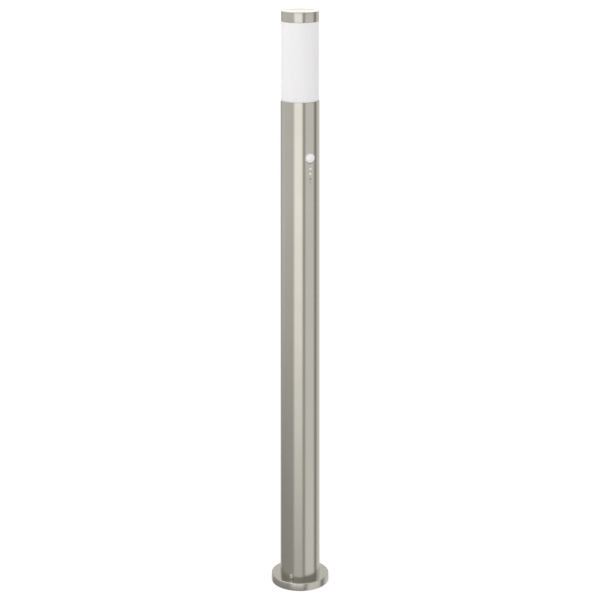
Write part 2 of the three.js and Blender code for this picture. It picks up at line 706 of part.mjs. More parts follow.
// ---- Lamp head ----------------------------------------------------------------------------
function buildHead() {
  const flangeLow = DIFFUSER_FLANGE_TOP - DIFFUSER_FLANGE;
  const spigotRadius = CAP_RADIUS - CAP_WALL - 0.5;
  const grooveHalf = RING_SECTION + GAP;
  const grooveRadius = RING_CENTRE - RING_SECTION - 0.1;
  add("diffuser", turned([
    [NECK_BORE, POST_TOP - NECK_DEPTH],
    [NECK_RADIUS, POST_TOP - NECK_DEPTH],
    [NECK_RADIUS, RING_HEIGHT - grooveHalf],
    [grooveRadius, RING_HEIGHT - grooveHalf],
    [grooveRadius, RING_HEIGHT + grooveHalf],
    [NECK_RADIUS, RING_HEIGHT + grooveHalf],
    [NECK_RADIUS, POST_TOP + GAP],
    [DIFFUSER_RADIUS, POST_TOP + GAP],
    [DIFFUSER_RADIUS, CAP_BOTTOM],
    [spigotRadius, CAP_BOTTOM],
    [spigotRadius, DIFFUSER_FLANGE_TOP],
    [DIFFUSER_FLANGE_BORE, DIFFUSER_FLANGE_TOP],
    [DIFFUSER_FLANGE_BORE, flangeLow],
    [DIFFUSER_BORE, flangeLow],
    [DIFFUSER_BORE, POST_TOP],
    [NECK_BORE, POST_TOP - 2],
    [NECK_BORE, POST_TOP - NECK_DEPTH],
  ], ROUND), OPAL);
  add("head_o_ring", turned(arc(RING_CENTRE, RING_HEIGHT, RING_SECTION, 0, 360, 6), ROUND), RUBBER);

  add("top_cap", turned([
    [CAP_RADIUS - CAP_WALL, CAP_BOTTOM],
    [CAP_RADIUS, CAP_BOTTOM],
    ...arc(CAP_RADIUS - CAP_EDGE, OVERALL_HEIGHT - CAP_EDGE, CAP_EDGE, 0, 90, 3),
    [0, OVERALL_HEIGHT],
    [0, CAP_CEILING],
    [CAP_RADIUS - CAP_WALL, CAP_CEILING],
    [CAP_RADIUS - CAP_WALL, CAP_BOTTOM],
  ], ROUND), STAINLESS);
  add("cap_seal", ring(26, 33, DIFFUSER_FLANGE_TOP, CAP_CEILING, ROUND), RUBBER);

  const barLow = flangeLow - 3;
  const washerLow = barLow - 1.2;
  const nutLow = washerLow - 4;
  const bore = CAP_STUD + GAP;
  add("cap_stud", rod(CAP_STUD, nutLow - 3, CAP_CEILING, SMALL), FASTENER);
  const bar = box([-30, 30], [-7, 7], [barLow, flangeLow]);
  add("cap_clamp_bar", cut(bar, [rod(bore, barLow - 1, flangeLow + 1, SMALL)]), ZINC);
  add("cap_washer", ring(bore, 6, washerLow, barLow, SMALL), FASTENER);
  add("cap_nut", hexNut(4.6, bore, nutLow, washerLow), FASTENER);
}

buildFoot();
buildPost();
buildTerminals();
buildWires();
buildSensorCase();
buildSensorBracket();
buildLens();
buildBoard();
buildDials();
buildLampholder();
buildBulb();
buildHead();

export default light;
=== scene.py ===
"""Bollard light with a motion sensor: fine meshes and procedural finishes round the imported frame."""
import json
import math

import bmesh
import bpy
from mathutils import Matrix, Vector


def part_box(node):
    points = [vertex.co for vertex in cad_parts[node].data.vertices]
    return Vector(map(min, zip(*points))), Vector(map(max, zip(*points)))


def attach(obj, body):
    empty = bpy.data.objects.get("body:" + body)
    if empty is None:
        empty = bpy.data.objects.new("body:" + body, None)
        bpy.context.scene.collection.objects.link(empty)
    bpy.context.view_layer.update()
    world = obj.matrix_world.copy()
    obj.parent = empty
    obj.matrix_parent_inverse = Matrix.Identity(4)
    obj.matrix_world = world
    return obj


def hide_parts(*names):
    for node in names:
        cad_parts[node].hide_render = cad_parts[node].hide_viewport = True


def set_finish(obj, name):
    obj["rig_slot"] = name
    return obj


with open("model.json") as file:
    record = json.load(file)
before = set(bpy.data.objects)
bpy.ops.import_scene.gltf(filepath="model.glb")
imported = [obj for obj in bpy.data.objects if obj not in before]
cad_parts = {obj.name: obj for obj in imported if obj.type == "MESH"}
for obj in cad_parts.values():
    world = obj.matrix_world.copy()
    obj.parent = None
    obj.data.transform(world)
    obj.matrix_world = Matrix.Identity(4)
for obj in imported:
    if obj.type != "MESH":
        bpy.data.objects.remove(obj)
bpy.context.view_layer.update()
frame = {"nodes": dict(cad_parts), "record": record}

MM = 0.001
NODES = frame["nodes"]
RECORD = frame["record"]
SLOT_OF = {row["node"]: row["material_slot"] for row in RECORD["subparts"]}
BODY_OF = {node: body for body, nodes in RECORD["behaviour"]["bodies"].items() for node in nodes}
COLOUR_OF = {row["slot"]: row["base_color"][:3] for row in RECORD["materials"]}

FINE = 192      # segments round the post, the foot and the head
MEDIUM = 96     # segments round the bulb, its holder and the sensor dome
SMALL = 48      # segments round screws and dials
SMOOTH_ANGLE = math.radians(32)
OUTSIDE = 60 * MM         # a distance from the post axis that is clear of every piece

# The camera stands at the photograph's viewing angle. CAMERA_ANGLE is its direction from the post, seen
# from above; its height and distance are in metres and its lens is in millimetres.
CAMERA_ANGLE = math.radians(-121)
CAMERA_DISTANCE = 3.291
CAMERA_HEIGHT = 1.468
CAMERA_LENS = 101.92
CAMERA_SHIFT = -0.799


# ---- Measures taken from the frame ---------------------------------
def span(node):
    """Lowest and highest corner of a node."""
    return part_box(node)


def radius_of(node):
    """Half the width of a round node."""
    low, high = span(node)
    return (high.x - low.x) / 2


def centre_of(node):
    low, high = span(node)
    return (low + high) / 2


# ---- Mesh helpers --------------------------------------------------
def fillet(points, radius, steps=4, closed=False):
    """Rounds the corners of a (radius, height) outline; a point may carry its own radius third."""
    count = len(points)
    out = []
    for i, point in enumerate(points):
        own = point[2] if len(point) > 2 else radius
        here = Vector(point[:2])
        if not closed and i in (0, count - 1) or own <= 0:
            out.append(tuple(here))
            continue
        before = Vector(points[i - 1][:2]) - here
        after = Vector(points[(i + 1) % count][:2]) - here
        if before.length < 1e-9 or after.length < 1e-9:
            out.append(tuple(here))
            continue
        angle = before.angle(after)
        if angle > math.radians(176):
            out.append(tuple(here))
            continue
        reach = min(own / math.tan(angle / 2), before.length * 0.48, after.length * 0.48)
        start = here + before.normalized() * reach
        end = here + after.normalized() * reach
        for k in range(steps + 1):
            t = k / steps
            out.append(tuple(start * (1 - t) ** 2 + here * 2 * t * (1 - t) + end * t ** 2))
    return out


def arc(centre_radius, centre_height, radius, start, end, steps):
    """Points on an arc in the (radius, height) plane, angles in degrees."""
    points = []
    for i in range(steps + 1):
        angle = math.radians(start + (end - start) * i / steps)
        points.append((
            max(0.0, centre_radius + radius * math.cos(angle)),
            centre_height + radius * math.sin(angle),
        ))
    return points


def revolve(profile, segments, closed=False):
    """A bmesh turned about +Z from an anticlockwise outline; points on the axis become poles."""
    mesh = bmesh.new()
    rings = []
    for radius, height, *_ in profile:
        if radius < 1e-7:
            rings.append([mesh.verts.new((0, 0, height))])
            continue
        rings.append([
            mesh.verts.new((
                radius * math.cos(2 * math.pi * k / segments),
                radius * math.sin(2 * math.pi * k / segments),
                height,
            ))
            for k in range(segments)
        ])
    pairs = list(zip(rings, rings[1:]))
    if closed:
        pairs.append((rings[-1], rings[0]))
    for lower, upper in pairs:
        for k in range(segments):
            m = (k + 1) % segments
            if len(lower) == 1 and len(upper) == 1:
                break
            if len(lower) == 1:
                mesh.faces.new((lower[0], upper[m], upper[k]))
            elif len(upper) == 1:
                mesh.faces.new((lower[k], lower[m], upper[0]))
            else:
                mesh.faces.new((lower[k], lower[m], upper[m], upper[k]))
    return mesh


def turn_to(direction):
    """The rotation that takes +Z to a direction."""
    return Vector((0, 0, 1)).rotation_difference(Vector(direction)).to_matrix().to_4x4()


def make(name, mesh, place=None):
    """An object from a bmesh, smooth except across sharp edges."""
    if place is not None:
        bmesh.ops.transform(mesh, matrix=place, verts=mesh.verts)
    bmesh.ops.recalc_face_normals(mesh, faces=mesh.faces)
    data = bpy.data.meshes.new(name)
    mesh.to_mesh(data)
    mesh.free()
    obj = bpy.data.objects.new(name, data)
    bpy.context.scene.collection.objects.link(obj)
    smooth(obj)
    return obj


def smooth(obj):
    obj.data.shade_smooth()
    obj.data.set_sharp_from_angle(angle=SMOOTH_ANGLE)


def cut(obj, tools):
    """Takes the tool meshes out of obj and keeps its shading clean."""
    for tool in tools:
        modifier = obj.modifiers.new("cut", "BOOLEAN")
        modifier.operation = "DIFFERENCE"
        modifier.solver = "EXACT"
        modifier.object = tool
    apply_modifiers(obj)
    for tool in tools:
        bpy.data.objects.remove(tool)
    smooth(obj)
    return obj


def apply_modifiers(obj):
    bpy.context.view_layer.update()
    graph = bpy.context.evaluated_depsgraph_get()
    data = bpy.data.meshes.new_from_object(obj.evaluated_get(graph))
    obj.modifiers.clear()
    obj.data = data


def tube_outline(inner, outer, bottom, top):
    return [(inner, bottom), (outer, bottom), (outer, top), (inner, top)]


def rod_outline(radius, bottom, top):
    return [(0, bottom), (radius, bottom), (radius, top), (0, top)]


def peg(radius, bottom, top, place=None):
    """A plain round tool for cutting holes."""
    return make("tool", revolve(rod_outline(radius, bottom, top), SMALL), place)


def block(x, y, z):
    """A plain box, as a bmesh."""
    mesh = bmesh.new()
    bmesh.ops.create_cube(mesh, size=1)
    size = Matrix.Diagonal((x[1] - x[0], y[1] - y[0], z[1] - z[0], 1))
    middle = Matrix.Translation(((x[0] + x[1]) / 2, (y[0] + y[1]) / 2, (z[0] + z[1]) / 2))
    bmesh.ops.transform(mesh, matrix=middle @ size, verts=mesh.verts)
    return mesh


# ---- Putting pieces on the frame -----------------------------------
MATERIALS = {}


def stand_for(node, obj):
    """obj is the fine form of a CAD node: it rides on the node's body and takes its slot."""
    obj.name = node + "_fine"
    obj.data.name = obj.name
    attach(obj, BODY_OF[node])
    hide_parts(node)
    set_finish(obj, SLOT_OF[node])
    obj.data.materials.clear()
    obj.data.materials.append(MATERIALS[SLOT_OF[node]])
    return obj


def dress(node, edge=0.3 * MM):
    """A CAD node whose shape is right stays, with softened edges and its slot's finish."""
    obj = NODES[node]
    obj.data.materials.clear()
    obj.data.materials.append(MATERIALS[SLOT_OF[node]])
    obj["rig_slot"] = SLOT_OF[node]
    weld = obj.modifiers.new("weld", "WELD")
    weld.merge_threshold = 0.01 * MM
    bevel = obj.modifiers.new("edge", "BEVEL")
    bevel.width = edge
    bevel.segments = 3
    bevel.limit_method = "ANGLE"
    bevel.angle_limit = math.radians(35)
    bevel.harden_normals = True
    bevel.use_clamp_overlap = True
    return obj


# ---- Shader helpers ------------------------------------------------
class Graph:
    """A material's node tree with short calls for the nodes used here."""

    def __init__(self, name):
        self.material = bpy.data.materials.new(name)
        self.material.use_nodes = True
        self.tree = self.material.node_tree
        self.shader = next(n for n in self.tree.nodes if n.type == "BSDF_PRINCIPLED")
        self.coords = self.node("ShaderNodeTexCoord").outputs["Object"]

    def node(self, kind, **settings):
        node = self.tree.nodes.new(kind)
        for key, value in settings.items():
            setattr(node, key, value)
        return node

    def link(self, source, target):
        if isinstance(source, (int, float)):
            target.default_value = source
        elif isinstance(source, (tuple, list)):
            values = tuple(source)
            size = len(target.default_value)
            target.default_value = (values + (1.0,))[:size]
        else:
            self.tree.links.new(source, target)

    def math(self, operation, first, second=0.0):
        node = self.node("ShaderNodeMath", operation=operation)
        self.link(first, node.inputs[0])
        self.link(second, node.inputs[1])
        return node.outputs[0]

    def vector(self, x, y, z):
        node = self.node("ShaderNodeCombineXYZ")
        for value, socket in zip((x, y, z), node.inputs):
            self.link(value, socket)
        return node.outputs[0]

    def split(self, source):
        node = self.node("ShaderNodeSeparateXYZ")
        self.link(source, node.inputs[0])
        return node.outputs

    def stretched(self, scales):
        """The object's coordinates, each axis with its own scale."""
        return self.vector(*[
            self.math("MULTIPLY", part, scale) for part, scale in zip(self.split(self.coords), scales)
        ])

    def noise(self, coords, scale, detail=3.0, roughness=0.55):
        node = self.node("ShaderNodeTexNoise")
        self.link(coords, node.inputs["Vector"])
        node.inputs["Scale"].default_value = scale
        node.inputs["Detail"].default_value = detail
        node.inputs["Roughness"].default_value = roughness
        return node.outputs["Fac"]

    def range(self, value, low, high, to_low, to_high):
        node = self.node("ShaderNodeMapRange")
        node.clamp = True
        for item, socket in zip((value, low, high, to_low, to_high), node.inputs):
            self.link(item, socket)
        return node.outputs[0]

    def mix(self, factor, first, second):
        node = self.node("ShaderNodeMix", data_type="RGBA")
        self.link(factor, node.inputs["Factor"])
        self.link(first, node.inputs[6])
        self.link(second, node.inputs[7])
        return node.outputs[2]

    def bump(self, height, distance, strength=1.0):
        node = self.node("ShaderNodeBump")
        node.inputs["Strength"].default_value = strength
        node.inputs["Distance"].default_value = distance
        self.link(height, node.inputs["Height"])
        return node.outputs["Normal"]

    def set(self, **values):
        for key, value in values.items():
            self.link(value, self.shader.inputs[key.replace("_", " ")])


def shade(colour, factor):
    return tuple(min(1.0, c * factor) for c in colour)


def brushed_stainless(slot):
    """Grain runs round the post and in rings on flat faces, so reflections smear across it."""
    g = Graph(slot)
    base = COLOUR_OF[slot]
    x, y, z = g.split(g.coords)
    radius = g.math("SQRT", g.math("ADD", g.math("MULTIPLY", x, x), g.math("MULTIPLY", y, y)))
    across = g.math("ADD", radius, z)
    along = g.math("ARCTAN2", y, x)
    fine = g.noise(g.vector(g.math("MULTIPLY", along, 0.9), g.math("MULTIPLY", across, 2600), 0.0), 1.0, 2.0)
    coarse = g.noise(g.vector(g.math("MULTIPLY", along, 0.5), g.math("MULTIPLY", across, 420), 3.0), 1.0, 4.0)
    smudge = g.noise(g.coords, 9.0, 3.0)
    grain = g.math("ADD", g.math("MULTIPLY", fine, 0.6), g.math("MULTIPLY", coarse, 0.4))
    tone = g.range(grain, 0.25, 0.75, 0.0, 1.0)
    colour = g.mix(tone, shade(base, 0.95), shade(base, 1.05))
    colour = g.mix(g.range(smudge, 0.35, 0.75, 0.0, 0.35), colour, shade(base, 0.95))
    rough = g.math("ADD", g.range(grain, 0.3, 0.7, 0.115, 0.145), g.range(smudge, 0.3, 0.7, -0.01, 0.015))
    tangent = g.node("ShaderNodeTangent", direction_type="RADIAL", axis="Z")
    facing = g.node("ShaderNodeNewGeometry").outputs["Normal"]
    flat = g.range(g.math("ABSOLUTE", g.split(facing)[2]), 0.85, 0.95, 0.0, 1.0)
    g.set(
        Base_Color=colour,
        Metallic=1.0,
        Roughness=rough,
        Anisotropic=g.math("SUBTRACT", 1.0, g.math("MULTIPLY", flat, 0.7)),
        Anisotropic_Rotation=0.25,
        Tangent=tangent.outputs[0],
        Normal=g.bump(grain, 0.004 * MM, 0.6),
    )
    return g.material


def plain_metal(slot, roughness, grain_scale, wear=0.0):
    """Fasteners, plated sheet and brass: cloudy roughness, faint scratches and dulled patches."""
    g = Graph(slot)
    base = COLOUR_OF[slot]
    cloud = g.noise(g.coords, 60.0, 4.0)
    scratches = g.noise(g.stretched((grain_scale, grain_scale, grain_scale * 0.12)), 1.0, 2.0)
    colour = g.mix(g.range(cloud, 0.35, 0.7, 0.0, 1.0), shade(base, 1.04), shade(base, 0.86 - wear))
    g.set(
        Base_Color=colour,
        Metallic=1.0,
        Roughness=g.math("ADD", g.range(cloud, 0.3, 0.7, roughness - 0.05, roughness + 0.08),
                         g.range(scratches, 0.4, 0.6, -0.03, 0.03)),
        Normal=g.bump(scratches, 0.004 * MM, 0.5),
    )
    return g.material


def spangled_zinc(slot):
    """Zinc plate: soft crystals of slightly different brightness."""
    g = Graph(slot)
    base = COLOUR_OF[slot]
    cells = g.node("ShaderNodeTexVoronoi")
    g.link(g.coords, cells.inputs["Vector"])
    cells.inputs["Scale"].default_value = 190.0
    tone = g.split(cells.outputs["Color"])[0]
    cloud = g.noise(g.coords, 30.0, 3.0)
    colour = g.mix(tone, shade(base, 0.86), shade(base, 1.06))
    g.set(
        Base_Color=colour,
        Metallic=1.0,
        Roughness=g.math("ADD", g.range(tone, 0.0, 1.0, 0.34, 0.5), g.range(cloud, 0.3, 0.7, -0.04, 0.06)),
        Normal=g.bump(cloud, 0.01 * MM, 0.5),
    )
    return g.material


def plastic(slot, roughness, texture=900.0, depth=0.004, coat=0.0, glow=0.0, scatter=0.0, mottle=0.05):
    """Moulded plastic: fine mould texture, faint flow marks and a little uneven gloss."""
    g = Graph(slot)
    base = COLOUR_OF[slot]
    grain = g.noise(g.coords, texture, 2.0)
    flow = g.noise(g.stretched((38.0, 38.0, 11.0)), 1.0, 3.0)
    streak = g.range(flow, 0.3, 0.7, 0.0, 1.0)
    colour = g.mix(streak, shade(base, 1.0 - mottle), shade(base, 1.0 + mottle * 0.4))
    g.set(
        Base_Color=colour,
        Roughness=g.math("ADD", g.range(grain, 0.3, 0.7, roughness - 0.04, roughness + 0.04),
                         g.range(flow, 0.3, 0.7, -0.03, 0.03)),
        Coat_Weight=coat,
        Coat_Roughness=0.15,
        Subsurface_Weight=scatter,
        Subsurface_Scale=2 * MM,
        # The emission at glow strength brightens the colour; on the diffuser, sensor dome and dials it is
        # painted light.
        Emission_Color=colour,
        Emission_Strength=glow,
        Normal=g.bump(grain, depth * MM, 0.6),
    )
    return g.material


def rubber(slot):
    """Moulded rubber: dull, with a dusty bloom."""
    g = Graph(slot)
    base = COLOUR_OF[slot]
    dust = g.noise(g.coords, 140.0, 5.0, 0.7)
    grain = g.noise(g.coords, 2200.0, 2.0)
    g.set(
        Base_Color=g.mix(g.range(dust, 0.45, 0.8, 0.0, 0.5), base, (0.11, 0.105, 0.10)),
        Roughness=g.range(dust, 0.3, 0.7, 0.68, 0.88),
        Normal=g.bump(grain, 0.01 * MM, 0.7),
    )
    return g.material


def circuit_board(slot):
    """Green solder mask with copper tracks showing faintly through it."""
    g = Graph(slot)
    base = COLOUR_OF[slot]
    x, _, z = g.split(g.coords)
    brick = g.node("ShaderNodeTexBrick")
    g.link(g.vector(x, z, 0.0), brick.inputs["Vector"])
    brick.inputs["Scale"].default_value = 120.0
    brick.inputs["Mortar Size"].default_value = 0.06
    tracks = brick.outputs["Fac"]
    cloud = g.noise(g.coords, 220.0, 3.0)
    g.set(
        Base_Color=g.mix(tracks, g.mix(cloud, shade(base, 0.8), shade(base, 1.1)), shade(base, 1.8)),
        Roughness=g.range(cloud, 0.3, 0.7, 0.28, 0.42),
        Coat_Weight=0.3,
        Normal=g.bump(tracks, 0.03 * MM, 0.6),
    )
    return g.material


def striped_wire(slot):
    """Green and yellow insulation in stripes along the wire."""
    g = Graph(slot)
    x, y, _ = g.split(g.coords)
    wave = g.math("SINE", g.math("MULTIPLY", g.math("ADD", x, g.math("MULTIPLY", y, 0.7)), 2600.0))
    stripe = g.range(wave, -0.1, 0.1, 0.0, 1.0)
    grain = g.noise(g.coords, 1500.0, 2.0)
    g.set(
        Base_Color=g.mix(stripe, (0.10, 0.34, 0.07), (0.75, 0.68, 0.06)),
        Roughness=g.range(grain, 0.3, 0.7, 0.4, 0.5),
        Normal=g.bump(grain, 0.004 * MM, 0.5),
    )
    return g.material


def tinted_window(slot, glow=0.0):
    """A small clear window with a tint: glossy, with cloudy patches that are lightened as painted light
    against the shade of its recess.
    """
    g = Graph(slot)
    base = COLOUR_OF[slot]
    cloud = g.noise(g.coords, 700.0, 3.0)
    # The cloud's random patches are real; their lighter end, 1.9 times the colour, is painted light that
    # offsets the shade in the window's recess.
    colour = g.mix(cloud, shade(base, 1.0), shade(base, 1.9))
    g.set(
        Base_Color=colour,
        Roughness=g.range(cloud, 0.3, 0.7, 0.08, 0.16),
        Coat_Weight=0.6,
        Emission_Color=colour,
        Emission_Strength=glow,
        Normal=g.bump(cloud, 0.006 * MM, 0.4),
    )
    return g.material


def build_materials():
    for slot, finish, *settings in (
        ("brushed_stainless", brushed_stainless),
        ("stainless_fastener", plain_metal, 0.24, 2200.0),
        ("zinc_steel", spangled_zinc),
        # The glow given to the opal diffuser, the sensor dome and the dials is painted light: it lifts their
        # tone though they are no lamps.
        ("opal_diffuser", plastic, 0.42, 700.0, 0.002, 0.05, 0.02, 0.25, 0.012),
        ("bulb_opal", plastic, 0.5, 1200.0, 0.004, 0.0, 0.05, 0.3, 0.02),
        ("bulb_body", plastic, 0.28, 900.0, 0.003, 0.2),
        ("sensor_white", plastic, 0.38, 900.0, 0.003, 0.1, 0.04, 0.0, 0.02),
        ("dial_cream", plastic, 0.42, 2500.0, 0.004, 0.0, 0.02),
        ("dark_plastic", plastic, 0.5, 1800.0, 0.02, 0.0, 0.0, 0.0, 0.2),
        ("circuit_board", circuit_board),
        ("component_blue", plastic, 0.3, 1500.0, 0.004, 0.2, 0.0, 0.0, 0.1),
        ("rubber_black", rubber),
        ("brass", plain_metal, 0.26, 1800.0, 0.06),
        ("nickel", plain_metal, 0.16, 2500.0),
        ("ceramic_white", plastic, 0.2, 500.0, 0.004, 0.4, 0.0, 0.1, 0.04),
        ("smoked_window", tinted_window),
        ("led_red", tinted_window, 0.05),
        ("wire_brown", plastic, 0.42, 1500.0, 0.004),
        ("wire_blue", plastic, 0.42, 1500.0, 0.004),
        ("wire_green_yellow", striped_wire),
    ):
        MATERIALS[slot] = finish(slot, *settings)


# ---- Round pieces --------------------------------------------------
UP = Vector((0, 0, 1))
FRONT = Vector((0, -1, 0))      # the way the sensor looks
BACK = Vector((0, 1, 0))


def placed(direction, origin=(0, 0, 0)):
    return Matrix.Translation(origin) @ turn_to(direction)


def reach_along(node, direction):
    """How far a node starts and ends along a frame direction, from the origin."""
    low, high = span(node)
    ends = sorted((low.dot(direction), high.dot(direction)))
    return ends[0], ends[1]


def turned(node, profile, segments, direction=UP, origin=(0, 0, 0), closed=False, edge=0.2 * MM):
    """Builds a turned piece, with its corners rounded, in place of a CAD node."""
    outline = fillet(profile, edge, closed=closed)
    return stand_for(node, make(node, revolve(outline, segments, closed), placed(direction, origin)))


def quarter(steps):
    return [math.pi / 2 * i / steps for i in range(steps + 1)]


def dome_of(radius, base, top, steps=10):
    """Points of a shallow dome, from its rim to its crown."""
    return [(max(0.0, radius * math.cos(t)), base + (top - base) * math.sin(t)) for t in quarter(steps)]


def threads(root, crest, bottom, top, pitch):
    """Ridges along a screwed stretch, as points going up."""
    points = []
    count = max(1, int((top - bottom) / pitch))
    for i in range(count):
        z = bottom + (top - bottom) * i / count
        step = (top - bottom) / count
        points += [(root, z, 0), (crest, z + step * 0.4, 0), (crest, z + step * 0.6, 0)]
    return points


def helix_wall(radius, amplitude, bottom, top, pitch, segments, rows):
    """Rings of a rolled helical thread: the radius waves with height and angle, and fades at both ends."""
    rings = []
    for row in range(rows + 1):
        t = row / rows
        z = bottom + (top - bottom) * t
        fade = min(1.0, t * 6, (1 - t) * 6)
        ring = []
        for k in range(segments):
            turn = k / segments
            wave = math.cos(2 * math.pi * (z / pitch - turn))
            r = radius + amplitude * fade * wave
            ring.append(Vector((r * math.cos(2 * math.pi * turn), r * math.sin(2 * math.pi * turn), z)))
        rings.append(ring)
    return rings


def loft(rings, closed=False):
    """Joins rings of points, in order, into a bmesh."""
    mesh = bmesh.new()
    loops = [[mesh.verts.new(p) for p in ring] for ring in rings]
    pairs = list(zip(loops, loops[1:]))
    if closed:
        pairs.append((loops[-1], loops[0]))
    for lower, upper in pairs:
        count = len(lower)
        for k in range(count):
            m = (k + 1) % count
            mesh.faces.new((lower[k], lower[m], upper[m], upper[k]))
    if not closed:
        mesh.faces.new(list(reversed(loops[0])))
        mesh.faces.new(loops[-1])
    return mesh


def screw_form(node, shank, head, height, direction, tip, seat, drive="cross", spin=0.0, origin=(0, 0, 0)):
    """A screw with a rolled thread, a domed head and a drive recess, its head towards `direction`."""
    crown = seat + height
    edge = seat + height * 0.35
    outline = [(0, tip), (shank * 0.55, tip)]
    outline += threads(shank * 0.84, shank, tip + shank * 0.3, seat - 0.2 * MM, 0.5 * MM)
    outline += [(shank * 0.9, seat), (head * 0.97, seat), (head, seat + height * 0.12)]
    outline += dome_of(head, edge, crown, 8)
    obj = make(node, revolve(outline, SMALL), None)
    depth = height * 0.62
    if drive == "hex":
        tools = [make("tool", revolve(rod_outline(head * 0.42, crown - depth, crown + height), 6))]
    else:
        wide = head * 0.62
        thin = head * 0.11
        top = crown + height
        tools = [make("tool", block((-wide, wide), (-thin, thin), (crown - depth, top)))]
        if drive == "cross":
            tools.append(make("tool", block((-thin, thin), (-wide, wide), (crown - depth, top))))
    cut(obj, tools)
    obj.data.transform(placed(direction, origin) @ Matrix.Rotation(spin, 4, "Z"))
    return stand_for(node, obj)


def nut_form(node, radius, bore, bottom, top, direction, origin=(0, 0, 0)):
    chamfer = radius * 0.08
    outline = [(0, bottom), (radius * 0.9, bottom), (radius, bottom + chamfer),
               (radius, top - chamfer), (radius * 0.9, top), (0, top)]
    obj = make(node, revolve(outline, 6))
    cut(obj, [peg(bore, bottom - MM, top + MM)])
    obj.data.transform(placed(direction, origin))
    return stand_for(node, obj)


# ---- Measures of details that the frame's boxes don't show ---------
LENS_FLANGE = 2.4 * MM
LENS_WALL = 1.2 * MM
LENS_SPOKE = 45             # degrees between two seams of the lens dome
LENS_RINGS = (34, 66)       # degrees up the dome of its ring seams
LENS_RADIUS = radius_of("sensor_lens") - LENS_FLANGE
M3_SHANK, M3_HEAD, M3_HEIGHT = 1.5 * MM, 2.8 * MM, 1.8 * MM
SENSOR_SHANK, SENSOR_HEAD, SENSOR_HEAD_HEIGHT = 1.1 * MM, 2.4 * MM, 1.6 * MM
CABLE_HOLE = 10 * MM
ANCHOR_CIRCLE = 22 * MM
ANCHOR_HOLE = 4.25 * MM
FOOT_SCREWS = ("foot_screw_1", "foot_screw_2")
FOOT_HOLE_START = 20 * MM     # where the cutters for the foot screws start, inside the spigot
FOOT_SHANK, FOOT_HEAD, FOOT_HEAD_HEIGHT = 2 * MM, 4.2 * MM, 2.2 * MM
POST_WALL = 2 * MM
SENSOR_HOLE_START = 30 * MM   # where the cutters for the sensor holes start, inside the post
HOLE_GAP = 0.3 * MM
WINDOW_GAP = 0.1 * MM
WINDOWS = ("photocell", "status_led")
FRONT_HOLES = ("sensor_lens", "time_dial", "lux_dial") + WINDOWS
DISH_DEPTH = 0.5 * MM
DISH_INNER = LENS_RADIUS + 0.3 * MM
DISH_OUTER = LENS_RADIUS + 1.8 * MM
DISH_STEPS = 6
BULB_PITCH = 3.6 * MM


# ---- Foot ----------------------------------------------------------
def foot_screw_tools(start):
    """Holes for the foot screws, through whatever stands between `start` and the outside."""
    tools = []
    for node in FOOT_SCREWS:
        centre = centre_of(node)
        outward = Vector((centre.x, centre.y, 0)).normalized()
        tools.append(peg(FOOT_SHANK + 0.3 * MM, start, OUTSIDE, place=placed(outward, (0, 0, centre.z))))
    return tools


def build_foot():
    rim = radius_of("base_plate")
    low, high = span("base_plate")
    outline = fillet([
        (CABLE_HOLE, low.z, 0.3 * MM),
        (rim, low.z, 0.8 * MM),
        (rim, high.z, 1.6 * MM),
        (CABLE_HOLE, high.z, 0.4 * MM),
    ], 0.5 * MM, 6, closed=True)
    plate = make("base_plate", revolve(outline, FINE, closed=True))
    anchors = []
    for i in range(3):
        angle = -math.pi / 2 + i * 2 * math.pi / 3
        at = Matrix.Translation((ANCHOR_CIRCLE * math.cos(angle), ANCHOR_CIRCLE * math.sin(angle), 0))
        anchors.append(peg(ANCHOR_HOLE, low.z - MM, high.z + MM, place=at))
    stand_for("base_plate", cut(plate, anchors))

    low, high = span("post_spigot")
    outer = radius_of("post_spigot")
    inner = outer - 3.1 * MM
    outline = fillet(tube_outline(inner, outer, low.z, high.z), 0.6 * MM, closed=True)
    spigot = make("post_spigot", revolve(outline, FINE, closed=True))
    stand_for("post_spigot", cut(spigot, foot_screw_tools(FOOT_HOLE_START)))

    post = radius_of("post_tube")
    for node in FOOT_SCREWS:
        centre = centre_of(node)
        outward = Vector((centre.x, centre.y, 0)).normalized()
        screw_form(node, FOOT_SHANK, FOOT_HEAD, FOOT_HEAD_HEIGHT, outward, inner, post + 0.05 * MM,
                   "hex", math.radians(15), (0, 0, centre.z))

    low, high = span("cable_grommet")
    lip = radius_of("cable_grommet")
    floor = span("base_plate")[1].z
    bore = CABLE_HOLE / 2
    turned("cable_grommet", [
        (bore, low.z), (CABLE_HOLE - 0.3 * MM, low.z), (CABLE_HOLE - 0.3 * MM, floor),
        (lip, floor), (lip, high.z, 1.2 * MM), (bore + 1.5 * MM, high.z, 0.8 * MM),
        (bore, high.z - 1.5 * MM, 0.6 * MM), (bore - 0.4 * MM, (low.z + high.z) / 2, 1.5 * MM),
    ], MEDIUM, closed=True)


# ---- Post ----------------------------------------------------------
def lens_dish(post):
    """A tool that presses a shallow dish round the lens hole; its depth follows the curve of the post."""
    outline = [(0, post - DISH_DEPTH), (DISH_INNER, post - DISH_DEPTH)]
    for k in range(1, DISH_STEPS + 1):
        t = k / DISH_STEPS
        radius = DISH_INNER + (DISH_OUTER - DISH_INNER) * t
        outline.append((radius, post - DISH_DEPTH * math.cos(math.pi / 2 * t)))
    edge = DISH_OUTER + 0.3 * MM
    outline += [(edge, post + 0.2 * MM), (edge, OUTSIDE), (0, OUTSIDE)]
    tool = make("tool", revolve(outline, MEDIUM), placed(FRONT, (0, 0, centre_of("sensor_lens").z)))
    for vert in tool.data.vertices:
        if -vert.co.y < (post + OUTSIDE) / 2:
            vert.co.y += post - math.sqrt(post ** 2 - vert.co.x ** 2)
    return tool


